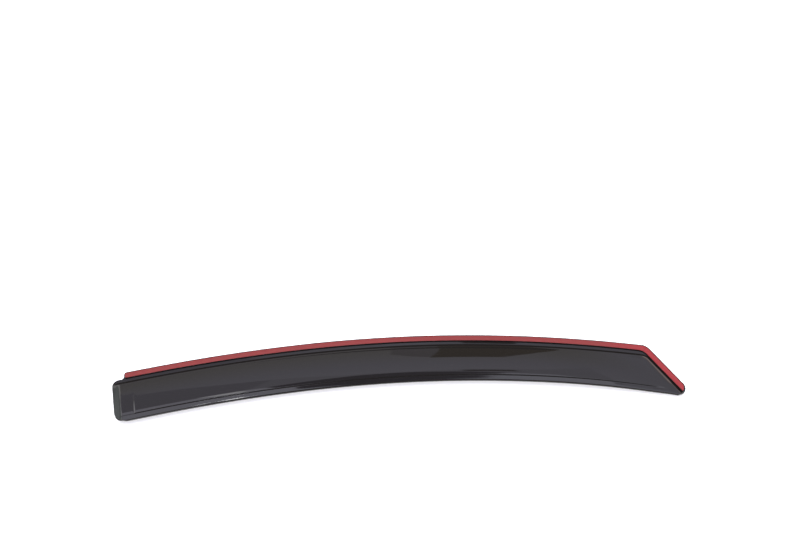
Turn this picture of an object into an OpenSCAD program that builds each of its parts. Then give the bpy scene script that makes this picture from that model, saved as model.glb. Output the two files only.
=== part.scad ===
// Window rain deflector: a smoked acrylic visor that fits in the channel of a side window.
// It lies as it would on a bench, outer face up. X runs along the window's top edge, from the
// closed end to the pointed end, +Y points to the window's top edge, and the glass side is Z = 0.
// A place on the visor is given by x and by d, the distance across it from its top edge.

/* [Outline] */
// Length of the flange's top edge, corner to corner, along its chord
top_length = 631.5; // [420:0.5:900]
// Rise of the top edge above that chord
arch_rise = 28.5; // [12:0.5:40]
// How far the crown of the arch leans towards the pointed end
arch_lean = 0.06; // [0:0.01:0.12]
// How much the arch straightens towards its ends
arch_ease = 0.05; // [0:0.01:0.1]
// Width across the visor, halfway along its top edge
width = 63.75; // [56:0.25:80]
// How much wider the closed end is than the pointed end
taper = 4.5; // [0:0.25:8]
// Angle of the pointed end's edge below the chord
end_angle = 52.5; // [44:0.5:66]
// Length over which the top edge and the pointed end's edge blend into each other
heel_blend = 4.6; // [2:0.2:8]
// Radius of the pointed end's tip
tip_r = 10; // [5:0.5:12]

/* [Section] */
// Thickness of the moulded wall
wall = 3; // [2:0.1:3.6]
// Height of the step between the flange and the face
step_h = 3.5; // [2.5:0.1:5]
// Width of that step, seen from above
step_run = 4.2; // [2.5:0.1:6]
// Height that the crowned face gains between the step and the crease
face_rise = 6.5; // [4:0.25:10]
// How far past its summit the crowned face reaches, as a share of its width
face_roll = 0.12; // [0:0.01:0.2]
// Width of the lip below the crease
lip_w = 6.2; // [4:0.2:9]
// Height of the crease
crease_h = 1; // [0.5:0.1:1.4]
// Width of the crease, seen from above
crease_run = 1.4; // [1:0.1:2.5]
// Fall of the lip to its outer edge
lip_fall = 0.5; // [0:0.1:1.5]

/* [Ends] */
// Distance that the closed end stands out past the flange's end
cap_reach = 15; // [11:0.5:20]
// Width of the sloping end wall, seen from above
cap_run = 8.5; // [7:0.5:11]
// Lean of the closed end's edge, from square to the chord, in degrees
cap_lean = 3; // [0:0.5:8]
// Radius of the closed end's corner beside the neck
cap_corner_r = 8.5; // [5:0.5:10]
// Radius of the closed end's lower corner, where its foot lifts off the glass
cap_foot_r = 16; // [8:0.5:20]
// Width of the flange's end, down to the closed end
neck_w = 8.4; // [7.2:0.1:10]
// Radius in the corner between the flange's end and the closed end
neck_r = 3.6; // [2:0.1:4.4]
// Radius of the flange's own end corner
flange_corner_r = 3.5; // [1:0.25:4.5]
// Width of the low border between the end wall and the raised field of the face
border_w = 16.5; // [12:0.5:25]
// Length over which the face comes down to the flange at the pointed end
fade_len = 100; // [70:5:140]

/* [Tape] */
// Width of the tape
tape_w = 6; // [5:0.1:9.5]
// Thickness of the foam
foam_t = 2.2; // [0.8:0.1:2.8]
// Thickness of the release liner
liner_t = 0.15; // [0.1:0.05:0.3]
// Bare margin between the flange's edge and the tape
tape_margin = 2.1; // [0.8:0.1:2.6]
// Bare flange between the tape and the step, along the top edge
tape_clear = 3.9; // [2:0.1:5]
// Bare flange between the tape and the step, down the pointed end
tip_clear = 0.5; // [0.3:0.1:1.2]
// Bare flange before the tape's closed end
end_clear = 1; // [0.6:0.1:3]
// Gap between the two strips where they meet at the corner
joint_gap = 0.1; // [0.1:0.05:1]
// Radius of the tape's corners at the closed end
tape_corner_r = 2; // [0.5:0.25:2.25]

/* [Hidden] */

half = top_length / 2;
cap_x = -half - cap_reach;
flange_w = tape_margin + tape_w + tape_clear;
tip_flange_w = tape_margin + tape_w + tip_clear;
step_top = flange_w + step_run;
tip_step_top = tip_flange_w + step_run;
// Where the crease fades out beside the pointed end, and over what length
crease_end = 1.25 * step_top;
crease_fade = fade_len / 6;
foot_w = lip_w + crease_run;
// Where the neck's upper rows lie, above the row that the closed end starts on
neck_rows = [neck_r, neck_r * 0.6, neck_r * 0.3, neck_r * 0.08];
// Sideways shift that keeps the wall about as thick where it slopes steeply
step_shift = wall * 0.55;
cap_shift = wall * 0.45;
crease_shift = wall * 0.2;
// The crease between border and field: its depth and width as shares of the crease's above the lip
SIDE_DEPTH = 0.7;
SIDE_SPREAD = 1.6;
// Distances over which the grid straightens from the curved ends
closed_ease = 3.2 * cap_reach;
pointed_ease = 3.4 * tip_r / tan(end_angle / 2);
// Passes that settle a point on the pointed end, where row and edge each depend on x
PASSES = 8;

function smooth(t) = let (u = max(0, min(1, t))) u * u * (3 - 2 * u);
function crown(t, end = 1) = let (u = max(0, min(end, t))) u * (2 - u);
// The lower of two heights or distances, blended where they are within k of each other
function blend_min(a, b, k) = let (h = max(k - abs(a - b), 0)) min(a, b) - h * h / (4 * k);

// The top edge is an arch over its chord, and q turns a distance across it into one along Y
function arch_y(x) = let (t = x / half)
    arch_rise * (1 - t * t) * (1 + arch_lean * t - arch_ease * t * t);
function arch_slope(x) = (arch_y(x + 0.5) - arch_y(x - 0.5));
function q(x) = sqrt(1 + pow(arch_slope(x), 2));
function place(x, d) = [x, arch_y(x) - d * q(x)];
function width_at(x) = width - taper * x / top_length;
function crease_d(x) = width_at(x) - foot_w;
function cap_edge(d) = cap_x + (d - neck_w) * tan(cap_lean);

// Distance from the pointed end's straight edge, and the x at which a row has that distance
function end_dist(p) = -(p[0] - half) * sin(end_angle) - p[1] * cos(end_angle);
function end_x(row, e, x = half, n = PASSES) = n == 0 ? x :
    end_x(row, e, half - (place(x, row_d(row, x))[1] * cos(end_angle) + e) / sin(end_angle), n - 1);

// How far a rounded corner of interior angle a draws a row in, at a distance w from its side
function corner_inset(w, r, a) = w >= r * (1 + cos(a)) ? 0 :
    (r + (r - w) * cos(a)) / sin(a) - sqrt(max(0, r * r - pow(r - w, 2)));

// A row is [length, share of the width]: its distance from the top edge is the sum of the two
face_shares = [0.12, 0.28, 0.45, 0.62, 0.8, 0.93];
rows = concat(
    [for (s = [0, 0.12, 0.35, 0.65, 1]) [s * flange_corner_r, 0]],
    [for (n = neck_rows) [neck_w - n, 0]],
    [for (s = [0, 0.08, 0.3, 0.6]) [neck_w + s * (flange_w - neck_w), 0]],
    [for (s = [0, 0.25, 0.5, 0.75, 1, 1.5]) [flange_w + s * step_run, 0]],
    [for (f = face_shares) [step_top * (1 - f) - foot_w * f, f]],
    [for (s = [1, 0.6, 0.3, 0]) [-lip_w - s * crease_run, 1]],
    [for (s = [0.6, 0.25, 0.06, 0]) [-s * lip_w, 1]]
);
function row_d(row, x) = row[0] + row[1] * width_at(x);

// The left end of a row: the flange's end, the neck, then the closed end with its two corners
top_corner = 90 + atan(arch_slope(-half)) - cap_lean;
function closed_left(row) = let (d = row_d(row, -half), w = width_at(-half) - d)
    d < neck_w ?
        -half + corner_inset(d, flange_corner_r, top_corner)
            - (neck_r - sqrt(neck_r * neck_r - pow(max(0, d - neck_w + neck_r), 2))) :
    d == neck_w ? -half - neck_r :
    cap_edge(d) + corner_inset(d - neck_w, cap_corner_r, top_corner)
        + corner_inset(w, cap_foot_r, 180 - top_corner);

// The right end of a row: the straight edge, with its blend at the heel and its rounded tip
tip_x = end_x([0, 1], 0);
tip_angle = end_angle + atan(arch_slope(tip_x));
function pointed_inset(row) = let (
        d = row_d(row, end_x(row, 0)),
        w = width_at(tip_x) - d)
    (d < heel_blend ? pow(sqrt(heel_blend) - sqrt(d), 2) / sin(end_angle) : 0)
        + corner_inset(max(0, w), tip_r, tip_angle);

// Columns run across the visor. The first ones follow the closed end, the last ones the edge of
// the pointed end, and those between lean over steadily from one to the other.
closed_cols = concat(
    [for (s = [0, 0.12, 0.3, 0.55, 0.8, 0.92, 1, 1.1, 1.3, 1.8]) s * cap_run],
    [for (s = [0, 0.5, 1]) cap_run + border_w + (s - 0.5) * crease_run],
    [cap_run + border_w + 6, closed_ease]
);
pointed_cols = concat(
    [pointed_ease, pointed_ease * 0.7, pointed_ease * 0.48],
    [for (s = [1.9, 1.3, 1, 0.75, 0.5, 0.25, 0, -0.35]) (tip_flange_w + s * step_run) / sin(end_angle)],
    [for (s = [0.5, 0.15, 0]) s * tip_flange_w]
);
MID_COLS = 44;
COLS = len(closed_cols) + MID_COLS + len(pointed_cols);
function left_x(row, c) = let (edge = cap_edge(row_d(row, cap_x)))
    edge + c + (closed_left(row) - edge) * pow(1 - min(1, c / closed_ease), 2);
function right_x(row, c) =
    end_x(row, 0) - c - pointed_inset(row) * pow(1 - min(1, c / pointed_ease), 2);
function col_x(row, i) = let (k = i - len(closed_cols), j = k - MID_COLS)
    k < 0 ? left_x(row, closed_cols[i]) :
    j >= 0 ? right_x(row, pointed_cols[j]) :
    let (a = left_x(row, closed_ease), b = right_x(row, pointed_ease))
        a + (b - a) * (k + 1) / (MID_COLS + 1);

// Height of the outer face. in_step, in_cap and in_crease shift the slopes for the inner face.
function height(x, d, in_step, in_cap, in_crease) = let (
        e = end_dist(place(x, d)),
        rim = blend_min(d, e + flange_w - tip_flange_w, heel_blend) - in_step,
        share = (d - step_top) / (crease_d(x) - step_top),
        over = 1 + face_roll,
        fade = crown((e - tip_step_top) / fade_len),
        lip = (d + in_crease - crease_d(x)) / crease_run,
        side = (cap_edge(d) + cap_run + border_w + in_crease - x) / crease_run,
        crease = max(
            smooth(lip) * smooth((e - crease_end) / crease_fade),
            SIDE_DEPTH * smooth(side / SIDE_SPREAD + 0.5) * smooth((share - 0.3) / 0.5)),
        fall = lip_fall * max(0, min(1, (d - crease_d(x) - crease_run) / lip_w)),
        top = step_h * smooth((rim - flange_w) / step_run)
            + face_rise * crown(share * over, over) * fade - crease_h * crease - fall * fade,
        ramp = (x - cap_edge(d) - in_cap) / cap_run)
    top * max(0, blend_min(ramp, 1, 0.25));

// Both faces share each column and row, so that the rim between them stands square to the glass
function outer_point(row, i) = let (x = col_x(row, i), d = row_d(row, x), p = place(x, d))
    [p[0], p[1], wall + height(x, d, 0, 0, 0)];
function inner_point(row, i) = let (x = col_x(row, i), d = row_d(row, x), p = place(x, d))
    [p[0], p[1], height(x, d, step_shift, cap_shift, crease_shift)];

outer = [for (i = [0 : COLS - 1]) for (row = rows) outer_point(row, i)];
inner = [for (i = [0 : COLS - 1]) for (row = rows) inner_point(row, i)];
xs = [for (p = outer) p[0]];
ys = [for (p = outer) p[1]];
centre = [(min(xs) + max(xs)) / 2, (min(ys) + max(ys)) / 2, 0];

// Faces of the closed shell: outer, inner, then the rim along rows and along columns
ROWS = len(rows);
LAYER = COLS * ROWS;
function cell(a, b, c, d) = [[a, b, c], [a, c, d]];
function at(layer, i, j) = layer * LAYER + i * ROWS + j;
function sheet_faces(layer) = [
    for (i = [0 : COLS - 2]) for (j = [0 : ROWS - 2]) each
        layer == 0 ?
            cell(at(0, i, j), at(0, i + 1, j), at(0, i + 1, j + 1), at(0, i, j + 1)) :
            cell(at(1, i, j), at(1, i, j + 1), at(1, i + 1, j + 1), at(1, i + 1, j))
];
function rim_faces() = concat(
    [for (i = [0 : COLS - 2]) each
        cell(at(0, i, 0), at(1, i, 0), at(1, i + 1, 0), at(0, i + 1, 0))],
    [for (i = [0 : COLS - 2]) each
        cell(at(0, i, ROWS - 1), at(0, i + 1, ROWS - 1), at(1, i + 1, ROWS - 1), at(1, i, ROWS - 1))],
    [for (j = [0 : ROWS - 2]) each
        cell(at(0, 0, j), at(0, 0, j + 1), at(1, 0, j + 1), at(1, 0, j))],
    [for (j = [0 : ROWS - 2]) each
        cell(at(0, COLS - 1, j), at(1, COLS - 1, j), at(1, COLS - 1, j + 1), at(0, COLS - 1, j + 1))]
);

// The one-piece moulding
module visor_shell() {
    color([0.16, 0.15, 0.16, 0.9])
    translate(-centre)
    polyhedron(
        points = concat(outer, inner),
        faces = concat(sheet_faces(0), sheet_faces(1), rim_faces()),
        convexity = 10
    );
}

// A line of points a distance m inside the flange's edge: along the arch, and round the heel
ARCH_STEPS = 72;
HEEL_STEPS = 8;
function level_heel(m) = [
    for (k = [0 : HEEL_STEPS]) let (
            t = k / HEEL_STEPS, d = m + heel_blend * t * t, e = m + heel_blend * pow(1 - t, 2))
        place(end_x([d, 0], e), d)
];
function level_arch(m, x0) = let (x1 = level_heel(m)[0][0]) [
    for (k = [0 : ARCH_STEPS - 1]) place(x0 + (x1 - x0) * k / ARCH_STEPS, m)
];
// The same line round the tip, with w the distance above the tape's lowest row
TIP_STEPS = 14;
function level_tip(m) = let (reach = (tip_r - m) * (1 + cos(tip_angle))) [
    for (k = [TIP_STEPS : -1 : 0]) let (
            w = reach * pow(k / TIP_STEPS, 2),
            row = [-w - m, 1],
            x = end_x(row, m))
        [x - corner_inset(w, tip_r - m, tip_angle), place(x, row_d(row, x))[1]]
];
// The tape's closed end, square across the flange with its corners rounded
TAPE_END_STEPS = 12;
tape_start = -half + end_clear;
tape_inner = tape_margin + tape_w;
function tape_end() = [
    for (k = [TAPE_END_STEPS : -1 : 0]) let (w = tape_w * (0.5 - 0.5 * cos(180 * k / TAPE_END_STEPS)))
        place(tape_start + corner_inset(w, tape_corner_r, 90)
            + corner_inset(tape_w - w, tape_corner_r, 90), tape_margin + w)
];
far = 2 * top_length;
// Everything inside the tape's outer edge, less everything inside its inner edge
module tape_band() {
    difference() {
        polygon(concat(
            tape_end(),
            level_arch(tape_margin, tape_start + 2 * tape_corner_r),
            level_heel(tape_margin),
            level_tip(tape_margin)
        ));
        polygon(concat(
            level_arch(tape_inner, -half - cap_reach),
            level_heel(tape_inner),
            [place(end_x([cap_reach, 1], tape_inner), width_at(tip_x) + cap_reach)],
            [[cap_x, -far]]
        ));
    }
}
// The strips part along the line that is as far from one edge of the flange as from the other.
// side is -1 for what lies before that line and 1 for what lies past it.
module past_mitre(side) {
    a = place(end_x([0, 0], 0), 0);
    b = place(end_x([tape_inner, 0], tape_inner), tape_inner);
    u = (b - a) / norm(b - a);
    out = [-u[1], u[0]] * side;
    start = a + out * joint_gap / 2;
    polygon([start - u * far, start + u * far, start + u * far + out * far, start - u * far + out * far]);
}
module strip(bottom, thickness, side) {
    translate([0, 0, bottom] - centre)
    linear_extrude(thickness)
    intersection() {
        tape_band();
        past_mitre(side);
    }
}

// Foam tape on the flange's outer face, along the arch and down the pointed end
module foam_tape_top() {
    color([0.12, 0.12, 0.12])
    strip(wall, foam_t, -1);
}
module foam_tape_end() {
    color([0.12, 0.12, 0.12])
    strip(wall, foam_t, 1);
}

// The red film that covers the adhesive until the visor is fitted
module liner_top() {
    color([0.62, 0.25, 0.28])
    strip(wall + foam_t, liner_t, -1);
}
module liner_end() {
    color([0.62, 0.25, 0.28])
    strip(wall + foam_t, liner_t, 1);
}

visor_shell();
foam_tape_top();
foam_tape_end();
liner_top();
liner_end();
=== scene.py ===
import math

import bmesh
import bpy
import numpy as np
from bpy.props import FloatProperty, FloatVectorProperty, PointerProperty
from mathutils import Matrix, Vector


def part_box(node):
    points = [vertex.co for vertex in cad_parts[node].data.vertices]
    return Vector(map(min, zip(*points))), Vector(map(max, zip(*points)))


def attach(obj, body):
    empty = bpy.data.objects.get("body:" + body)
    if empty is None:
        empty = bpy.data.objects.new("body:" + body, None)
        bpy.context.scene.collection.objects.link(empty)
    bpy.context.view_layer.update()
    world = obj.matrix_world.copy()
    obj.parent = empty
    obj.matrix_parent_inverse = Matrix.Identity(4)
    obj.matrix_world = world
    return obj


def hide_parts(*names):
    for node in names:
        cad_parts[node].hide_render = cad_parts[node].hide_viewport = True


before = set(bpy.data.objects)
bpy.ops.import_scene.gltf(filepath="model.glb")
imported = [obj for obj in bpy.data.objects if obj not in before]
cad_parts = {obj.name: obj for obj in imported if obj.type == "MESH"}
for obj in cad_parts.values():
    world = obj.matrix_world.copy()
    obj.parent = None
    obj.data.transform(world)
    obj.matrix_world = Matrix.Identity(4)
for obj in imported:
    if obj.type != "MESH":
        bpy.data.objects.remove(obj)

# Window rain deflector: a smoked acrylic visor for the channel of a side window, lying outer face up.
# Sizes are in metres. A place on the visor is given by x, along the chord of its top edge, and by d, the
# distance across it from that edge. Z = 0 is the glass side of the flange.

bl_info = {
    "name": "Window rain deflector",
    "version": (1, 0, 0),
    "blender": (4, 5, 0),
    "location": "3D View > Sidebar > Deflector",
    "description": "Builds a smoked acrylic window rain deflector with its foam tape and release liner",
    "category": "Add Mesh",
}

MM = 0.001
# A length under this counts as none.
TINY = 1e-9
# Points of a mesh that are closer together than this are merged.
MERGE_DIST = 0.0001 * MM
# A bend between two faces that is steeper than this stays sharp.
SHARP_BEND = math.radians(60)

# On the inner face the step, the end wall and the crease lie further in, by these shares of the wall.
STEP_SHIFT = 0.55
CAP_SHIFT = 0.45
CREASE_SHIFT = 0.2
# The crease between border and field: its depth and width as shares of the crease's above the lip. It
# begins at a share of the way from the step to the lip's crease and forms over another share of that way.
SIDE_DEPTH = 0.7
SIDE_SPREAD = 1.6
SIDE_START = 0.3
SIDE_GROWTH = 0.5
# The end wall rounds into the face over this share of its height.
CAP_ROUNDING = 0.25
# Towards the tip the lip's crease dies out over this share of the fade. It is gone where the pointed end
# is as near as this multiple of the distance from the top edge to the step's upper end.
CREASE_FADE = 1 / 6
CREASE_END = 1.25

# The grid's columns follow each end's corners at first. They are straight after these multiples of the
# closed end's reach and of the tip's tangent.
CLOSED_EASE = 3.2
POINTED_EASE = 3.4
# The grid is finer this far past a crease or a step, and this far past the end wall's upper bend.
CREASE_MARGIN = 1 * MM
BEND_MARGIN = 1.5 * MM
# The lip crease's own rows begin and end this far above and below it.
ROWS_ABOVE = 0.6 * MM
ROWS_BELOW = 0.3 * MM
# Rows start again this far past the neck, and the first one past a rounded edge is this far from it.
NECK_GAP = 0.05 * MM
EDGE_GAP = 0.2 * MM
# Rows over the face, and columns between those of the two ends.
FACE_ROWS = 26
MIDDLE_COLUMNS = 220
# Rounds in which the place where a row meets the pointed end settles.
ROUNDS = 10

# Points along a line inside the flange's edge: on the arch, round the heel and down the pointed end.
ARCH_POINTS = 500
HEEL_POINTS = 65
END_POINTS = 300
# Stations along the strips of tape: in the top strip's rounded corners, past them, and on the end strip.
CORNER_STATIONS = 12
TOP_STATIONS = 420
END_STATIONS = 110
# Radii of the long edges of foam and film.
FOAM_EDGE_R = 0.15 * MM
FILM_EDGE_R = 0.05 * MM
# The film takes on its second colour, painted light for where it bends down the pointed end, over this
# share of the fade, up to the flange's pointed end.
FILM_PAINTED_LIGHT_SPAN = 0.6
# The Mix node's two colours and its mixed one, by number because other sockets share their names.
MIX_A = 6
MIX_B = 7
MIXED = 2


def to_linear(text):
    """sRGB hex such as #5a5b60 to linear red, green, blue and an alpha of 1."""
    srgb = np.array([int(text[k:k + 2], 16) for k in (1, 3, 5)]) / 255
    linear = np.where(srgb <= 0.04045, srgb / 12.92, ((srgb + 0.055) / 1.055) ** 2.4)
    return (*linear.tolist(), 1.0)


def length(name, mm, text):
    """A length property whose default is given in millimetres."""
    return FloatProperty(
        name=name, description=text, default=mm * MM, min=0.0, precision=5, unit="LENGTH")


def colour(name, text, hexa):
    """A colour property whose default is an sRGB hex value."""
    return FloatVectorProperty(
        name=name, description=text, default=to_linear(hexa), size=4, min=0.0, max=1.0, subtype="COLOR")


def share(name, value, text):
    """A property that holds a share, between 0 and 1."""
    return FloatProperty(name=name, description=text, default=value, min=0.0, max=1.0, subtype="FACTOR")


class DeflectorShape(bpy.types.PropertyGroup):
    """Sizes of the moulding: its outline, its section and its two ends."""
    top_length: length("Top length", 631.5, "Length of the flange's top edge along its chord")
    arch_rise: length("Arch rise", 28.5, "Rise of the top edge above its chord")
    arch_lean: share("Arch lean", 0.06, "How far the crown of the arch leans towards the pointed end")
    arch_ease: share("Arch ease", 0.05, "How much the arch straightens towards its ends")
    width: length("Width", 63.75, "Width across the visor, halfway along its top edge")
    taper: length("Taper", 4.5, "How much wider the closed end is than the pointed end")
    end_angle: FloatProperty(
        name="End angle", description="Angle of the pointed end's edge below the chord",
        default=math.radians(52.5), min=0.5, max=1.3, unit="ROTATION", subtype="ANGLE")
    heel_blend: length("Heel blend", 4.6, "Length of the top edge's blend into the pointed end")
    tip_r: length("Tip radius", 10, "Radius of the pointed end's tip")
    wall: length("Wall", 3, "Thickness of the moulded wall")
    step_h: length("Step height", 3.5, "Height of the step between the flange and the face")
    step_run: length("Step run", 4.2, "Width of that step, seen from above")
    face_rise: length("Face rise", 6.5, "Height gained between the step and the crease")
    face_roll: share("Face roll", 0.12, "Share of its width by which the crowned face passes its summit")
    lip_w: length("Lip width", 6.2, "Width of the lip below the crease")
    crease_h: length("Crease height", 1, "Height of the crease")
    crease_run: length("Crease run", 1.4, "Width of the crease, seen from above")
    lip_fall: length("Lip fall", 0.5, "Fall of the lip to its outer edge")
    cap_reach: length("Cap reach", 15, "Distance that the closed end stands out past the flange's end")
    cap_run: length("Cap run", 8.5, "Width of the sloping end wall, seen from above")
    cap_lean: FloatProperty(
        name="Cap lean", description="Lean of the closed end's edge from square to the chord",
        default=math.radians(3), unit="ROTATION", subtype="ANGLE")
    cap_corner_r: length("Cap corner radius", 8.5, "Radius of the closed end's corner beside the neck")
    cap_foot_r: length("Cap foot radius", 16, "Radius of the closed end's lower corner")
    neck_w: length("Neck", 8.4, "Width of the flange's end, down to the closed end")
    neck_r: length("Neck radius", 3.6, "Radius between the flange's end and the closed end")
    flange_corner_r: length("Flange corner radius", 3.5, "Radius of the flange's own end corner")
    border_w: length("Border width", 16.5, "Width of the low border between end wall and raised field")
    fade_len: length("Fade length", 100, "Length of the face's fall to the flange at the pointed end")
    edge_r: length("Edge radius", 0.6, "Radius of the polished edges")
    lip_edge_r: length("Lip edge radius", 2, "Radius of the lip's outer edge, on the outer face")


class DeflectorTape(bpy.types.PropertyGroup):
    """Sizes of the foam tape and of the film on it."""
    tape_w: length("Tape width", 6, "Width of the tape")
    foam_t: length("Foam thickness", 2.2, "Thickness of the foam")
    liner_t: length("Liner thickness", 0.15, "Thickness of the release liner")
    tape_margin: length("Margin", 2.1, "Bare margin between the flange's edge and the tape")
    tape_clear: length("Clearance", 3.9, "Bare flange beside the step, along the top edge")
    tip_clear: length("Tip clearance", 0.5, "Bare flange beside the step, down the pointed end")
    end_clear: length("End clearance", 1, "Bare flange before the tape's closed end")
    joint_gap: length("Joint gap", 0.1, "Gap between the two strips where they meet at the corner")
    tape_corner_r: length("Corner radius", 2, "Radius of the tape's corners at the closed end")


class DeflectorFinish(bpy.types.PropertyGroup):
    """Colours and finishes."""
    acrylic: colour("Acrylic", "Body colour of the smoked acrylic", "#191716")
    foam: colour("Foam", "Colour of the foam tape", "#231f20")
    liner_top: colour("Top liner", "Colour of the release film along the arch", "#701f1d")
    # The end liner's colour is the film's own colour with painted light, for where the film bends down
    # the pointed end.
    liner_end: colour("End liner", "Colour of the release film down the pointed end", "#7f1319")
    acrylic_roughness: share("Acrylic roughness", 0.02, "Roughness of the polished face")
    smudge_roughness: share("Smudge roughness", 0.05, "Roughness where the face has been handled")


class DeflectorStage(bpy.types.PropertyGroup):
    """The floor, the lights and the camera."""
    floor: colour("Floor", "Colour of the floor", "#f4f4f4")
    sky: FloatProperty(name="Sky", description="Strength of the surrounding white", default=1.0, min=0.0)
    floor_glow: FloatProperty(
        name="Floor glow", description="Light that the floor gives off", default=0.45, min=0.0)
    softbox: FloatProperty(
        name="Softbox", description="Power of the overhead softbox", default=75.0, min=0.0)
    fill: FloatProperty(name="Fill", description="Power of the front softbox", default=12.0, min=0.0)
    camera_azimuth: FloatProperty(
        name="Camera azimuth", description="Turn of the camera about the vertical",
        default=math.radians(-3.25), unit="ROTATION", subtype="ANGLE")
    camera_elevation: FloatProperty(
        name="Camera elevation", description="Height of the camera over the floor, as an angle",
        default=math.radians(65), unit="ROTATION", subtype="ANGLE")
    camera_distance: length("Camera distance", 3676, "Distance from the camera to the point it looks at")
    aim_x: length("Aim X", 24.3, "Point on the floor that the camera looks at, measured on the chord")
    aim_y: length("Aim Y", 123.18, "Point on the floor that the camera looks at, measured on the chord")


def smooth(t):
    """Rises from 0 to 1 as t does, by a cubic that is level at both ends."""
    u = np.clip(t, 0, 1)
    return u * u * (3 - 2 * u)


def crown(t, end=1.0):
    """Rises from 0 to 1 as t does, steep at 0 and level at 1: a parabola, cut off at end."""
    u = np.clip(t, 0, end)
    return u * (2 - u)


def blend_min(a, b, k):
    """The lower of a and b, blended by a parabola where they are within k of each other."""
    h = np.maximum(k - np.abs(a - b), 0)
    return np.minimum(a, b) - h * h / (4 * k)


def corner_inset(w, r, angle):
    """How far a rounded corner of that interior angle draws a row in, at a distance w from its side.

    The corner is a circle of radius r against both sides, so the inset is that of the circle's edge.
    """
    w = np.maximum(w, 0)
    arc = (r + (r - w) * np.cos(angle)) / np.sin(angle) - np.sqrt(np.maximum(r * r - (r - w) ** 2, 0))
    return np.where(w >= r * (1 + np.cos(angle)), 0.0, arc)


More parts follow.
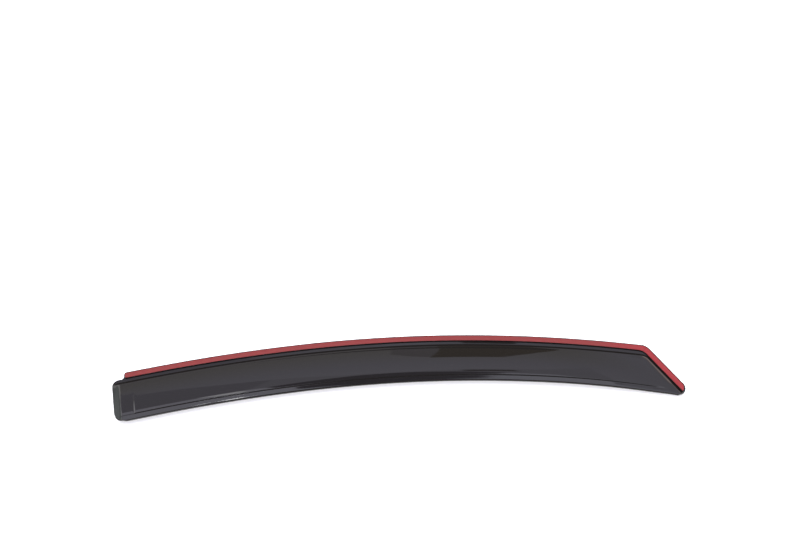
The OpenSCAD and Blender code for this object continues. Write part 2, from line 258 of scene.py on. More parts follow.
class Visor:
    """The visor's outline and height as functions of x and d, from the sizes in the property groups."""

    def __init__(self, shape, tape):
        self.s = shape
        self.t = tape
        self.half = shape.top_length / 2
        self.cap_x = -self.half - shape.cap_reach
        self.flange_w = tape.tape_margin + tape.tape_w + tape.tape_clear
        self.tip_flange_w = tape.tape_margin + tape.tape_w + tape.tip_clear
        self.step_top = self.flange_w + shape.step_run
        self.tip_step_top = self.tip_flange_w + shape.step_run
        self.crease_end = CREASE_END * self.step_top
        self.crease_fade = CREASE_FADE * shape.fade_len
        self.top_corner = math.pi / 2 + math.atan(self.slope(-self.half)) - shape.cap_lean
        self.tip_x = float(self.end_x((0.0, 1.0), 0.0))
        self.tip_angle = shape.end_angle + math.atan(self.slope(self.tip_x))

    def arch(self, x):
        """Height of the top edge over its chord: a parabola with a lean and eased ends."""
        t = x / self.half
        s = self.s
        return s.arch_rise * (1 - t * t) * (1 + s.arch_lean * t - s.arch_ease * t * t)

    def slope(self, x):
        """Slope of the top edge, from its rise over a millimetre."""
        return (self.arch(x + MM / 2) - self.arch(x - MM / 2)) / MM

    def place_y(self, x, d):
        """Y of the place a distance d across the visor.

        As d is square to the top edge, the drop is d times the root of 1 + the slope squared.
        """
        return self.arch(x) - d * np.sqrt(1 + self.slope(x) ** 2)

    def width(self, x):
        """Width across the visor at x."""
        return self.s.width - self.s.taper * x / self.s.top_length

    def row_d(self, row, x):
        """Distance d of a row, which is a length plus a share of the width."""
        return row[0] + row[1] * self.width(x)

    def crease_d(self, x):
        """Distance d at which the crease begins."""
        return self.width(x) - self.s.lip_w - self.s.crease_run

    def end_dist(self, x, y):
        """Distance inwards from the pointed end's straight edge."""
        a = self.s.end_angle
        return -(x - self.half) * np.sin(a) - y * np.cos(a)

    def end_x(self, row, e):
        """The x at which a row has the distance e from the pointed end's edge, settled by repetition."""
        a = self.s.end_angle
        x = np.full(np.broadcast(row[0], row[1], e).shape, self.half)
        for _ in range(ROUNDS):
            y = self.place_y(x, self.row_d(row, x))
            x = self.half - (y * np.cos(a) + e) / np.sin(a)
        return x

    def cap_edge(self, d):
        """The x of the closed end's straight edge, which leans in away from the neck."""
        return self.cap_x + (d - self.s.neck_w) * math.tan(self.s.cap_lean)

    def closed_left(self, row):
        """Left end of a row: the flange's end, the neck, then the closed end with its two corners."""
        s = self.s
        d = self.row_d(row, -self.half)
        w = self.width(-self.half) - d
        neck = np.clip(d - s.neck_w + s.neck_r, 0, s.neck_r)
        flange = -self.half + corner_inset(d, s.flange_corner_r, self.top_corner)
        flange = flange - (s.neck_r - np.sqrt(s.neck_r ** 2 - neck ** 2))
        cap = self.cap_edge(d) + corner_inset(d - s.neck_w, s.cap_corner_r, self.top_corner)
        cap = cap + corner_inset(w, s.cap_foot_r, math.pi - self.top_corner)
        return np.where(d <= s.neck_w + TINY, flange, cap)

    def pointed_inset(self, row):
        """How far the heel's blend and the tip's rounding draw a row in from the straight edge."""
        s = self.s
        d = self.row_d(row, self.end_x(row, 0.0))
        w = self.width(self.tip_x) - d
        heel = (math.sqrt(s.heel_blend) - np.sqrt(np.maximum(d, 0))) ** 2 / math.sin(s.end_angle)
        return np.where(d < s.heel_blend, heel, 0.0) + corner_inset(w, s.tip_r, self.tip_angle)

    def height(self, x, d, inner):
        """Height of the outer face over the flange, or of the inner face over the glass.

        A step rises beside the flange, a crowned face climbs to the crease, the lip lies below it, and
        all of it comes down to the flange at the pointed end and down the end wall at the closed end.
        The inner face is the same form with its slopes shifted in, so that the wall keeps its thickness.
        """
        s = self.s
        in_step, in_cap, in_crease = (s.wall * k * inner for k in (STEP_SHIFT, CAP_SHIFT, CREASE_SHIFT))
        # The distance from the pointed end's edge, and that from whichever edge of the flange is nearer.
        e = self.end_dist(x, self.place_y(x, d))
        rim = blend_min(d, e + self.flange_w - self.tip_flange_w, s.heel_blend) - in_step
        across = (d - self.step_top) / (self.crease_d(x) - self.step_top)
        fade = crown((e - self.tip_step_top) / s.fade_len)
        # The ways over the lip's crease and over the border's, from 0 above to 1 below.
        lip = (d + in_crease - self.crease_d(x)) / s.crease_run
        side = (self.cap_edge(d) + s.cap_run + s.border_w + in_crease - x) / s.crease_run
        crease = np.maximum(
            smooth(lip) * smooth((e - self.crease_end) / self.crease_fade),
            SIDE_DEPTH * smooth(side / SIDE_SPREAD + 0.5) * smooth((across - SIDE_START) / SIDE_GROWTH))
        fall = s.lip_fall * np.clip((d - self.crease_d(x) - s.crease_run) / s.lip_w, 0, 1)
        top = s.step_h * smooth((rim - self.flange_w) / s.step_run)
        over = 1 + s.face_roll
        top = top + s.face_rise * crown(across * over, over) * fade - s.crease_h * crease - fall * fade
        wall = (x - self.cap_edge(d) - in_cap) / s.cap_run
        return top * np.maximum(blend_min(wall, 1.0, CAP_ROUNDING), 0)


def spaced(*stretches):
    """Numbers from stretches of (start, end, count), each stretch without its last number."""
    return np.concatenate([np.linspace(a, b, n, endpoint=False) for a, b, n in stretches])


def edge_steps(r, count=4):
    """Distances from an edge at which its quarter-round is cut, at equal angles."""
    return r * (1 - np.sin(np.linspace(math.pi / 2, 0, count + 1)))[:-1]


def quarter_bend(distance, r):
    """How far a quarter-round of radius r brings a face in, at a distance from its edge."""
    near = r - np.clip(distance, 0, r)
    return r - np.sqrt(r ** 2 - near ** 2)


def shell_rows(v):
    """Rows of the grid, from the top edge to the lower one. Each is a length and a share of the width."""
    s = v.s
    edge = edge_steps(s.edge_r)
    neck_bend = s.neck_w - s.neck_r
    near = np.concatenate([
        edge, spaced((s.edge_r, neck_bend, 5), (neck_bend, s.neck_w, 6)), [s.neck_w],
        s.neck_w + NECK_GAP + edge,
        spaced((s.neck_w + s.edge_r + EDGE_GAP, v.flange_w, 4), (v.flange_w, v.step_top, 14))])
    crease_top = s.lip_w + s.crease_run
    face_end = crease_top + CREASE_MARGIN
    face = [(v.step_top * (1 - f) - face_end * f, f) for f in np.linspace(0, 1, FACE_ROWS)]
    lip_start = s.lip_w - ROWS_BELOW
    low = np.concatenate([
        spaced((crease_top + ROWS_ABOVE, lip_start, 12), (lip_start, s.lip_edge_r, 5)),
        edge_steps(s.lip_edge_r, 9)[::-1]])
    return np.array([(d, 0.0) for d in near] + face + [(-w, 1.0) for w in low]).T[:, None, :]


def closed_columns(s, ease):
    """Distances of the columns from the closed end, fine at the wall's bend and the border's crease."""
    wall = s.cap_run
    field = s.cap_run + s.border_w
    return np.concatenate([
        edge_steps(s.edge_r), spaced(
            (s.edge_r, wall - BEND_MARGIN, 10), (wall - BEND_MARGIN, wall + BEND_MARGIN, 10),
            (wall + BEND_MARGIN, field - CREASE_MARGIN, 10),
            (field - CREASE_MARGIN, field + CREASE_MARGIN, 8), (field + CREASE_MARGIN, ease, 6))])


def pointed_columns(v, ease):
    """Distances of the columns from the pointed end, measured along the chord, fine over the step."""
    slant = math.sin(v.s.end_angle)
    edge = v.s.edge_r / slant
    flange = v.tip_flange_w / slant
    step = v.tip_step_top / slant + CREASE_MARGIN
    return np.concatenate([
        edge_steps(v.s.edge_r) / slant, spaced((edge, flange, 8), (flange, step, 20), (step, ease, 12))])


def shell_grid(v):
    """x and d of every grid point, one column of points across the visor after another.

    Rows keep their distance from the top edge, or their share of the width. Columns follow the closed
    end's outline at first and the pointed end's edge at last, and lean over steadily in between. What
    an end's corners draw a row in by counts in full at that end and less with each column, by a square,
    until the columns are straight.
    """
    s = v.s
    rows = shell_rows(v)
    ease = CLOSED_EASE * s.cap_reach
    c = closed_columns(s, ease)[:, None]
    row_edge = v.cap_edge(v.row_d(rows, v.cap_x))
    left = row_edge + c + (v.closed_left(rows) - row_edge) * (1 - np.minimum(1, c / ease)) ** 2
    a = row_edge + ease
    ease = POINTED_EASE * s.tip_r / math.tan(s.end_angle / 2)
    c = pointed_columns(v, ease)[::-1, None]
    row_end = v.end_x(rows, 0.0)
    right = row_end - c - v.pointed_inset(rows) * (1 - np.minimum(1, c / ease)) ** 2
    b = row_end - ease
    middle = a + (b - a) * np.linspace(0, 1, MIDDLE_COLUMNS)[:, None]
    x = np.concatenate([left, middle, right])
    return x, v.row_d(rows[:, 0, :], x)


def sheet_faces(columns, rows, base, flip):
    """Quads of a grid of points, counter-clockwise from above, or clockwise when flip is true."""
    i, j = np.meshgrid(np.arange(columns - 1), np.arange(rows - 1), indexing="ij")
    k = base + i * rows + j
    quads = np.stack([k, k + 1, k + rows + 1, k + rows], -1).reshape(-1, 4)
    return quads[:, ::-1] if flip else quads


def rim_faces(ring_a, ring_b):
    """Quads between two closed rings of point numbers."""
    return np.stack([ring_a, np.roll(ring_a, -1), np.roll(ring_b, -1), ring_b], -1)


def grid_ring(columns, rows, base):
    """Numbers of the points round a grid's border, in order."""
    last = (columns - 1) * rows
    return base + np.concatenate([
        np.arange(0, last, rows), np.arange(last, last + rows - 1),
        np.arange(last + rows - 1, rows - 1, -rows), np.arange(rows - 1, 0, -1)])


def add_node(tree, kind, settings=None, **links):
    """Adds a shader node, sets its properties or sockets, and links sockets named in links.

    A key of settings names a property of the node, or else an input socket. A value in links is a
    (node, output) pair, and an underscore in its key stands for a space.
    """
    node = tree.nodes.new(kind)
    for key, value in (settings or {}).items():
        if isinstance(key, str) and hasattr(node, key):
            setattr(node, key, value)
        else:
            node.inputs[key].default_value = value
    for key, (source, output) in links.items():
        tree.links.new(source.outputs[output], node.inputs[key.replace("_", " ")])
    return node


def pattern_scale(mm):
    """Scale of a pattern on Object coordinates whose features are so many millimetres across."""
    return 1 / (mm * MM)


def new_material(name):
    """A material with an empty node tree and its output."""
    material = bpy.data.materials.new(name)
    material.use_nodes = True
    material.node_tree.nodes.clear()
    return material, material.node_tree, material.node_tree.nodes.new("ShaderNodeOutputMaterial")


def smoked_acrylic(finish):
    """Cast smoked acrylic, drape-moulded and polished: almost black, warm, and glossy as glass."""
    material, tree, out = new_material("Smoked acrylic")
    where = add_node(tree, "ShaderNodeTexCoord")
    smudges = add_node(
        tree, "ShaderNodeTexNoise", {"Scale": pattern_scale(71.4), "Detail": 5.0},
        Vector=(where, "Object"))
    rough = add_node(
        tree, "ShaderNodeMapRange",
        {"From Min": 0.35, "From Max": 0.75,
         "To Min": finish.acrylic_roughness, "To Max": finish.smudge_roughness},
        Value=(smudges, "Fac"))
    shader = add_node(
        tree, "ShaderNodeBsdfPrincipled",
        {"Base Color": finish.acrylic[:], "IOR": 1.49, "Metallic": 0.0}, Roughness=(rough, "Result"))
    tree.links.new(shader.outputs[0], out.inputs["Surface"])
    return material


def closed_cell_foam(finish):
    """Closed-cell acrylic foam tape, slit on its sides: dark and matt, with cut cells along the slit.

    The cells are drawn coarser than real ones, which are too fine to show.
    """
    material, tree, out = new_material("Closed-cell foam")
    where = add_node(tree, "ShaderNodeTexCoord")
    cells = add_node(
        tree, "ShaderNodeTexVoronoi", {"Scale": pattern_scale(0.385)}, Vector=(where, "Object"))
    bump = add_node(
        tree, "ShaderNodeBump", {"Strength": 0.5, "Distance": 0.1 * MM}, Height=(cells, "Distance"))
    shader = add_node(
        tree, "ShaderNodeBsdfPrincipled",
        {"Base Color": finish.foam[:], "Roughness": 0.85, "IOR": 1.45}, Normal=(bump, "Normal"))
    tree.links.new(shader.outputs[0], out.inputs["Surface"])
    return material


def red_release_film(finish, start, end):
    """Red polyethylene release film: satin, a little wavy where it lifts off the adhesive.

    Along X its colour goes over from the first liner colour to the second, between start and end. The
    second colour is painted light, for how light falls on the film where it bends down the pointed end.
    """
    material, tree, out = new_material("Red release film")
    where = add_node(tree, "ShaderNodeTexCoord")
    split = add_node(tree, "ShaderNodeSeparateXYZ", Vector=(where, "Object"))
    along = add_node(
        tree, "ShaderNodeMapRange", {"From Min": start, "From Max": end}, Value=(split, "X"))
    shade = add_node(
        tree, "ShaderNodeMix",
        {"data_type": "RGBA", MIX_A: finish.liner_top[:], MIX_B: finish.liner_end[:]},
        Factor=(along, "Result"))
    waves = add_node(
        tree, "ShaderNodeTexNoise", {"Scale": pattern_scale(8.33), "Detail": 3.0},
        Vector=(where, "Object"))
    bump = add_node(
        tree, "ShaderNodeBump", {"Strength": 0.25, "Distance": 0.6 * MM}, Height=(waves, "Fac"))
    shader = add_node(
        tree, "ShaderNodeBsdfPrincipled",
        {"Roughness": 0.38, "Specular IOR Level": 0.3}, Normal=(bump, "Normal"))
    tree.links.new(shade.outputs[MIXED], shader.inputs["Base Color"])
    tree.links.new(shader.outputs[0], out.inputs["Surface"])
    return material


def level_line(v, m):
    """x, y and d of points along the flange, a distance m inside its edge: arch, heel and pointed end.

    The heel is the curve on which the roots of both distances add up to a constant.
    """
    t = np.linspace(0, 1, HEEL_POINTS)
    heel_d = m + v.s.heel_blend * t ** 2
    heel_x = v.end_x((heel_d, 0.0), m + v.s.heel_blend * (1 - t) ** 2)
    arch_x = np.linspace(v.cap_x, heel_x[0], ARCH_POINTS)[:-1]
    end_d = np.linspace(heel_d[-1], v.width(v.tip_x), END_POINTS)[1:]
    x = np.concatenate([arch_x, heel_x, v.end_x((end_d, 0.0), m)])
    d = np.concatenate([np.full(arch_x.size, m), heel_d, end_d])
    return x, v.place_y(x, d), d


def cut_at_mitre(v, line, top):
    """The part of a level line before the mitre for the top strip, or past it for the end strip.

    The points of the mitre are equally far from both edges of the flange. Half the joint's gap is left
    beside it.
    """
    x, y, d = line
    ahead = v.end_dist(x, y) - d
    gap = v.t.joint_gap * math.sin(math.pi / 2 - v.s.end_angle / 2) * (1 if top else -1)
    at = np.interp(-gap, -ahead, np.arange(x.size))
    keep = np.arange(x.size) < at if top else np.arange(x.size) > at
    end = [np.interp(at, np.arange(x.size), k) for k in line]
    parts = [(k[keep], [e]) if top else ([e], k[keep]) for k, e in zip(line, end)]
    return [np.concatenate(p) for p in parts]


def top_strip(v):
    """Outer and inner edge of the strip along the arch, with the rounded corners of its closed end.

    A millimetre past the corners the flange's level line takes over.
    """
    t = v.t
    m, far, r = t.tape_margin, t.tape_margin + t.tape_w, t.tape_corner_r
    start = -v.half + t.end_clear
    stations = start + r * (1 - np.cos(np.linspace(0, math.pi / 2, CORNER_STATIONS)))
    drop = corner_inset(stations - start, r, math.pi / 2)
    edges = []
    for inset, at in ((m, m + drop), (far, far - drop)):
        x, y, _ = cut_at_mitre(v, level_line(v, inset), True)
        rest = x > stations[-1] + MM
        edges.append(np.stack([
            np.concatenate([stations, x[rest]]),
            np.concatenate([v.place_y(stations, at), y[rest]])], -1))
    return resample(*edges, stations.size - 1, TOP_STATIONS)


def end_strip(v):
    """Outer and inner edge of the strip down the pointed end. The outer one goes round the tip."""
    m, far = v.t.tape_margin, v.t.tape_margin + v.t.tape_w
    x, _, d = cut_at_mitre(v, level_line(v, m), False)
    w = v.width(v.tip_x) - m - d
    x, d, w = x[w >= 0], d[w >= 0], w[w >= 0]
    x = x - corner_inset(w, v.s.tip_r - m, v.tip_angle)
    outer = np.stack([x, v.place_y(x, d)], -1)
    outer = outer[v.end_dist(*outer.T) < far]
    inner = np.stack(cut_at_mitre(v, level_line(v, far), False)[:2], -1)
    inner = np.concatenate([inner[inner[:, 1] > outer[-1, 1]], outer[-1:]])
    return resample(outer, inner, 0, END_STATIONS)


def resample(outer, inner, head, count):
    """Both edges at matching shares of their length, past a head of points that match already."""
    edges = []
    for line in (outer, inner):
        rest = line[head:]
        along = np.concatenate([[0], np.cumsum(np.hypot(*np.diff(rest, axis=0).T))])
        at = np.linspace(0, along[-1], count)
        new = np.stack([np.interp(at, along, rest[:, k]) for k in (0, 1)], -1)
        edges.append(np.concatenate([line[:head], new]))
    return edges


def bar_between(edges, low, high, r):
    """A closed section carried along a strip: a flat bar between two edges, its corners rounded by r.

    A corner is cut in three and a flat in eight. Where the strip runs out to a point, a corner takes
    two fifths of its width at most.
    """
    outer, inner = edges
    gap = np.hypot(*(inner - outer).T)[:, None]
    unit = (inner - outer) / np.maximum(gap, TINY)
    reach = np.minimum(r, gap * 2 / 5)
    turn = np.linspace(0, math.pi / 2, 4)
    near, rise = 1 - np.sin(turn), r * (1 - np.cos(turn))
    shares = np.linspace(0, 1, 9)[1:-1]

    # The points of one rounded corner beside an edge, and those of one flat between two edges.
    def corner(edge, way, inset, z):
        return [np.concatenate([edge + way * unit * reach * a, np.full_like(gap, b)], 1)
                for a, b in zip(inset, z)]

    def across(a, b, z):
        return [np.concatenate([a + (b - a) * k, np.full_like(gap, z)], 1) for k in shares]

    return np.stack(
        corner(outer, 1, near, low + rise) + corner(outer, 1, near[::-1], high - rise[::-1])
        + across(outer, inner, high)
        + corner(inner, -1, near, high - rise) + corner(inner, -1, near[::-1], low + rise[::-1])
        + across(inner, outer, low), 1)


def tube_faces(stations, around):
    """Quads of a closed section carried along a path, and one face over each of its ends."""
    i, j = np.meshgrid(np.arange(stations - 1) * around, np.arange(around), indexing="ij")
    nxt = (j + 1) % around
    quads = np.stack([i + j, i + around + j, i + around + nxt, i + nxt], -1).reshape(-1, 4)
    last = (stations - 1) * around
    return quads.tolist() + [list(range(around)), list(range(last + around - 1, last - 1, -1))]


def shell_points(v):
    """Points of the outer face and then of the inner face, on the same grid, with rounded edges.

    Near the outline each face bends by a quarter circle towards the other.
    """
    s = v.s
    x, d = shell_grid(v)
    past_flange = smooth((-v.half - x) / s.neck_r)
    edge = np.minimum.reduce([
        d - s.neck_w * past_flange, x - x[:1], (x[-1:] - x) * math.sin(s.end_angle)])
    foot = v.width(x) - d
    y = v.place_y(x, d)
    outer = s.wall + v.height(x, d, 0) - np.maximum(
        quarter_bend(edge, s.edge_r), quarter_bend(foot, s.lip_edge_r))
    inner = v.height(x, d, 1) + quarter_bend(np.minimum(edge, foot), s.edge_r)
    return np.stack([np.stack([x, y, z], -1) for z in (outer, inner)])


def frame_shift(v):
    """The shift that carries places on the chord into the frame, where the moulding's box is centred."""
    low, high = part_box("visor_shell")
    x, d = shell_grid(v)
    y = v.place_y(x, d)
    return np.array([
        (low.x + high.x - x.min() - x.max()) / 2, (low.y + high.y - y.min() - y.max()) / 2, 0.0])


def make_piece(name, points, faces, material, node):
    """A smooth mesh from points and faces, in the frame, in place of a CAD node."""
    mesh = bpy.data.meshes.new(name)
    mesh.from_pydata(points.reshape(-1, 3).tolist(), [], faces)
    mesh.validate()
    bm = bmesh.new()
    bm.from_mesh(mesh)
    bmesh.ops.remove_doubles(bm, verts=bm.verts, dist=MERGE_DIST)
    bmesh.ops.recalc_face_normals(bm, faces=bm.faces)
    bm.to_mesh(mesh)
    bm.free()
    mesh.shade_smooth()
    mesh.set_sharp_from_angle(angle=SHARP_BEND)
    mesh.materials.append(material)
    piece = bpy.data.objects.new(name, mesh)
    bpy.context.scene.collection.objects.link(piece)
    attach(piece, "root")
    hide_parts(node)
    return piece


class MESH_OT_deflector_shell(bpy.types.Operator):
    """Adds the smoked acrylic moulding"""
    bl_idname = "mesh.deflector_shell"
    bl_label = "Add Acrylic Shell"
    bl_options = {"REGISTER", "UNDO"}

    def execute(self, context):
        scene = context.scene
        v = Visor(scene.deflector_shape, scene.deflector_tape)
        points = shell_points(v) + frame_shift(v)
        columns, rows = points.shape[1:3]
        size = columns * rows
        faces = np.concatenate([
            sheet_faces(columns, rows, 0, False), sheet_faces(columns, rows, size, True),
            rim_faces(grid_ring(columns, rows, 0), grid_ring(columns, rows, size))])
        make_piece(
            "acrylic_shell", points, faces.tolist(), smoked_acrylic(scene.deflector_finish),
            "visor_shell")
        return {"FINISHED"}


class MESH_OT_deflector_tape(bpy.types.Operator):
    """Adds the two strips of foam tape and the release film on them"""
    bl_idname = "mesh.deflector_tape"
    bl_label = "Add Tape and Liner"
    bl_options = {"REGISTER", "UNDO"}

    def execute(self, context):
        scene = context.scene
        tape = scene.deflector_tape
        v = Visor(scene.deflector_shape, tape)
        shift = frame_shift(v)
        low = scene.deflector_shape.wall
        high = low + tape.foam_t
        finish = scene.deflector_finish
        end = v.half + shift[0]
        film = red_release_film(finish, end - FILM_PAINTED_LIGHT_SPAN * scene.deflector_shape.fade_len, end)
        layers = (
            ("foam", low, high, FOAM_EDGE_R, closed_cell_foam(finish), "foam_tape"),
            ("film", high, high + tape.liner_t, FILM_EDGE_R, film, "release_liner"))
        nodes = {"foam": "foam_tape", "film": "liner"}
        for part, edges in (("top", top_strip(v)), ("end", end_strip(v))):
            for layer, bottom, top, r, material, slot in layers:
                points = bar_between(edges, bottom, top, r) + shift
                make_piece(
                    f"{layer}_{part}", points, tube_faces(*points.shape[:2]), material,
                    f"{nodes[layer]}_{part}")
        return {"FINISHED"}


def sheet(name, corners, material):
    """A flat stage object with one face."""
    mesh = bpy.data.meshes.new(name)
    mesh.from_pydata(corners, [], [list(range(len(corners)))])
    mesh.materials.append(material)
    piece = bpy.data.objects.new(name, mesh)
    bpy.context.scene.collection.objects.link(piece)
    return piece


def level(z, *outline):
    """Corners of a card at the height z, from (x, y) pairs in metres."""
    return [(x, y, z) for x, y in outline]


def upright(y, *outline):
    """Corners of a card that stands at y, square to the Y axis, from (x, z) pairs in metres."""
    return [(x, y, z) for x, z in outline]


def standing(start, end, low, high):
    """Corners of an upright oblong card between two (x, y) places and two heights, in metres."""
    return [(*start, low), (*end, low), (*end, high), (*start, high)]


def card(name, corners, radiance):
    """A flat card, given by its corners, that shows in reflections and nowhere else."""
    material, tree, out = new_material(name)
    glow = add_node(tree, "ShaderNodeEmission", {"Color": (*radiance, 1.0)})
    tree.links.new(glow.outputs[0], out.inputs["Surface"])
    piece = sheet(name, corners, material)
    piece.visible_camera = piece.visible_diffuse = piece.visible_shadow = False
    piece.visible_transmission = False


def floor_cards(v, shift):
    """White floor before the visor and, behind it, a dark card that paints shade into the reflections of
    the floor; the two part along the visor's lower edge.

    Both reach three metres to the sides, and the dark one as far to the back.
    """
    reach = 3.0
    x = np.linspace(v.cap_x, v.half, 40)
    y = v.place_y(x, v.width(x)) + shift[1]
    x = x + shift[0]
    edge = [*zip(x.tolist(), y.tolist()), (reach, y[-1])]
    for name, start, z, far, grey in (
            ("white floor in front", -reach, 0.0, -1.8, 2.5),
            # Behind the visor the floor seen in reflections is dark, as painted shade, though the floor
            # itself is white.
            ("floor behind in painted shade", x[0], -MM, reach, 0.02)):
        card(name, level(z, (start, y[0]), *edge, (reach, far), (start, far)), (grey, grey, grey))


def softbox(name, place, width, height, power):
    """A soft rectangular light that looks at the middle of the floor and isn't seen in reflections."""
    light = bpy.data.lights.new(name, "AREA")
    light.shape = "RECTANGLE"
    light.size, light.size_y, light.energy = width, height, power
    piece = bpy.data.objects.new(name, light)
    piece.location = place
    piece.rotation_euler = (-Vector(place)).to_track_quat("-Z", "Y").to_euler()
    piece.visible_glossy = False
    bpy.context.scene.collection.objects.link(piece)


def white_surround(scene, stage):
    """A white surround, brighter and a little cooler towards the top."""
    world = bpy.data.worlds.new("White surround")
    world.use_nodes = True
    tree = world.node_tree
    way = add_node(tree, "ShaderNodeTexCoord")
    split = add_node(tree, "ShaderNodeSeparateXYZ", Vector=(way, "Generated"))
    glow = add_node(
        tree, "ShaderNodeMapRange", {"From Min": 0.5, "From Max": 1.0, "To Min": 0.7, "To Max": 1.33},
        Value=(split, "Z"))
    cool = add_node(
        tree, "ShaderNodeMapRange", {"From Min": 0.55, "From Max": 0.8}, Value=(split, "Z"))
    tint = add_node(
        tree, "ShaderNodeMix",
        {"data_type": "RGBA", MIX_A: (1.0, 0.97, 1.0, 1.0), MIX_B: (0.94, 0.93, 1.13, 1.0)},
        Factor=(cool, "Result"))
    power = add_node(
        tree, "ShaderNodeMath", {"operation": "MULTIPLY", 1: stage.sky}, Value=(glow, "Result"))
    back = tree.nodes["Background"]
    tree.links.new(tint.outputs[MIXED], back.inputs["Color"])
    tree.links.new(power.outputs[0], back.inputs["Strength"])
    scene.world = world


# Cards around the visor, with their radiance: what a glossy surface sees in such a studio.
CARDS = (
    ("dark gap behind", (0.02, 0.02, 0.02), upright(
        1.5, (-1.0, -1.5), (2.5, -1.5), (2.5, -0.25), (0.7, -0.25), (0.7, 0.84), (-1.0, 0.84))),
    ("brown screen", (0.2, 0.16, 0.1), upright(
        1.7, (0.155, 0.6), (0.5, 0.6), (0.46, 1.0), (0.41, 1.15), (0.365, 1.38), (0.32, 1.66),
        (0.135, 1.68), (0.15, 1.15))),
    ("grey screen", (0.53, 0.5, 0.55), upright(
        1.72, (0.03, 0.6), (0.17, 0.6), (0.15, 1.68), (0.09, 1.55), (0.03, 1.3))),
    ("dark boom overhead", (0.12, 0.12, 0.2), level(
        3.0, (-0.22, 1.1), (-0.1, 0.6), (0.0, 0.0), (-0.06, -1.8), (0.2, -1.8), (0.13, 0.0),
        (0.22, 0.6), (0.3, 1.1), (0.1, 1.26), (-0.02, 1.26))),
    ("dark rod", (0.02, 0.02, 0.02), level(
        3.0, (0.22, 1.22), (0.344, 1.22), (0.344, 1.35), (0.22, 1.35))),
    ("crest lamp", (4.2, 4.2, 4.4), level(
        3.1, (-0.3, 1.02), (-0.255, 1.02), (-0.275, 1.15), (-0.38, 1.15))),
    ("overhead panel", (1.95, 1.95, 2.3), level(
        3.2, (-1.5, -0.8), (1.5, -0.8), (1.5, 1.12), (-0.1, 1.12), (-0.2, 1.17), (-1.5, 1.17))),
    ("dim ceiling on the left", (0.7, 0.69, 0.87), level(
        3.25, (-1.3, 3.6), (-0.76, 2.78), (-0.6, 2.51), (-0.445, 2.18), (-0.27, 1.9), (-0.27, 1.1),
        (-1.3, 1.1))),
    ("dim ceiling", (0.93, 0.92, 1.12), level(
        3.25, (-0.27, 1.9), (-0.185, 1.77), (-0.06, 1.49), (0.115, 1.42), (0.44, 1.62), (0.56, 1.83),
        (0.9, 2.4), (0.9, 1.1), (-0.27, 1.1))),
    ("dark front", (0.1, 0.1, 0.1), upright(
        -1.9, (0.03, 0.1), (3.0, 0.1), (3.0, 3.3), (-3.0, 3.3), (-3.0, 0.7), (0.03, 0.7))),
    ("low front panel", (3.0, 3.0, 3.1), standing((-3.0, -1.9), (0.03, -1.9), 0.0, 0.7)),
    ("left wall", (1.0, 1.12, 1.12), standing((-2.0, -0.5), (-2.0, 2.5), -2.0, 1.2)),
    ("right softbox", (2.4, 1.95, 1.85), standing((0.95, 1.5), (1.9, 1.5), 0.0, 1.2)),
    ("left softbox", (2.3, 2.3, 2.3), standing((-1.95, 1.05), (-1.1, 1.9), 0.8, 1.6)),
    ("left reflector", (3.3, 3.3, 3.5), standing((-2.45, 0.55), (-1.95, 1.05), 1.2, 2.7)),
    ("lip lamp", (42.0, 42.0, 43.0), level(
        3.1, (-0.202, 0.1), (-0.167, 0.1), (-0.177, 0.3), (-0.212, 0.3))),
    ("second lip lamp", (18.0, 18.0, 18.0), level(
        3.1, (-0.247, 0.1), (-0.23, 0.1), (-0.24, 0.3), (-0.257, 0.3))),
)


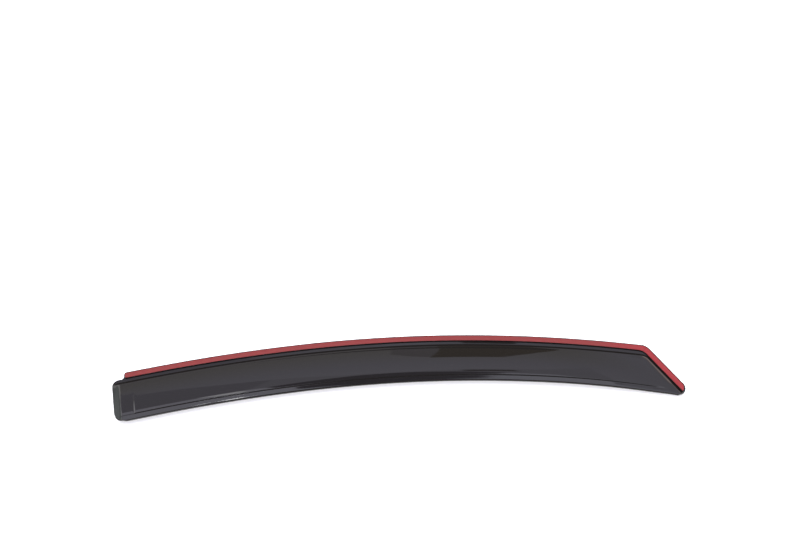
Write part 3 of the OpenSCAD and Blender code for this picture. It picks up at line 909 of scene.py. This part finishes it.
class SCENE_OT_deflector_stage(bpy.types.Operator):
    """Adds the floor, the lights and the camera"""
    bl_idname = "scene.deflector_stage"
    bl_label = "Add Stage"
    bl_options = {"REGISTER", "UNDO"}

    def execute(self, context):
        scene = context.scene
        stage = scene.deflector_stage
        scene.view_settings.view_transform = "Standard"
        white_surround(scene, stage)
        material, tree, out = new_material("White sweep")
        shader = add_node(
            tree, "ShaderNodeBsdfPrincipled",
            {"Base Color": stage.floor[:], "Roughness": 0.8, "Emission Color": stage.floor[:],
             "Emission Strength": stage.floor_glow})
        tree.links.new(shader.outputs[0], out.inputs["Surface"])
        side = 6.0
        corners = level(0.0, (-side, -side), (side, -side), (side, side), (-side, side))
        floor = sheet("floor", corners, material)
        floor.visible_glossy = False
        softbox("overhead softbox", (0.0, 0.9, 2.2), 2.4, 1.6, stage.softbox)
        softbox("front softbox", (0.0, -2.0, 1.6), 2.6, 1.6, stage.fill)
        for name, radiance, corners in CARDS:
            card(name, corners, radiance)
        v = Visor(scene.deflector_shape, scene.deflector_tape)
        shift = frame_shift(v)
        floor_cards(v, shift)
        lens = bpy.data.cameras.new("camera")
        lens.sensor_width = 36.0
        lens.lens = 135.0
        camera = bpy.data.objects.new("camera", lens)
        a, e = stage.camera_azimuth, stage.camera_elevation
        away = Vector((math.cos(e) * math.sin(a), -math.cos(e) * math.cos(a), math.sin(e)))
        aim = Vector((stage.aim_x, stage.aim_y, 0)) + Vector(shift)
        camera.location = aim + away * stage.camera_distance
        camera.rotation_euler = (-away).to_track_quat("-Z", "Y").to_euler()
        scene.collection.objects.link(camera)
        scene.camera = camera
        return {"FINISHED"}


class VIEW3D_PT_deflector(bpy.types.Panel):
    """Sizes, finishes and the three operators, in the sidebar"""
    bl_label = "Window Rain Deflector"
    bl_space_type = "VIEW_3D"
    bl_region_type = "UI"
    bl_category = "Deflector"

    def draw(self, context):
        layout = self.layout
        for operator in OPERATORS:
            layout.operator(operator.bl_idname)
        for group in GROUPS:
            settings = getattr(context.scene, GROUPS[group])
            box = layout.box()
            for name in group.__annotations__:
                box.prop(settings, name)


GROUPS = {
    DeflectorShape: "deflector_shape",
    DeflectorTape: "deflector_tape",
    DeflectorFinish: "deflector_finish",
    DeflectorStage: "deflector_stage",
}
OPERATORS = (SCENE_OT_deflector_stage, MESH_OT_deflector_shell, MESH_OT_deflector_tape)


def register():
    """Registers the classes and gives the scene its groups of settings."""
    for kind in (*GROUPS, *OPERATORS, VIEW3D_PT_deflector):
        bpy.utils.register_class(kind)
    for group, name in GROUPS.items():
        setattr(bpy.types.Scene, name, PointerProperty(type=group))


def unregister():
    """Undoes what register did."""
    for name in GROUPS.values():
        delattr(bpy.types.Scene, name)
    for kind in (VIEW3D_PT_deflector, *reversed(OPERATORS), *reversed(GROUPS)):
        bpy.utils.unregister_class(kind)


def main():
    """Builds the stage and the visor."""
    register()
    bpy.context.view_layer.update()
    bpy.ops.scene.deflector_stage()
    bpy.ops.mesh.deflector_shell()
    bpy.ops.mesh.deflector_tape()


if __name__ == "__main__":
    main()
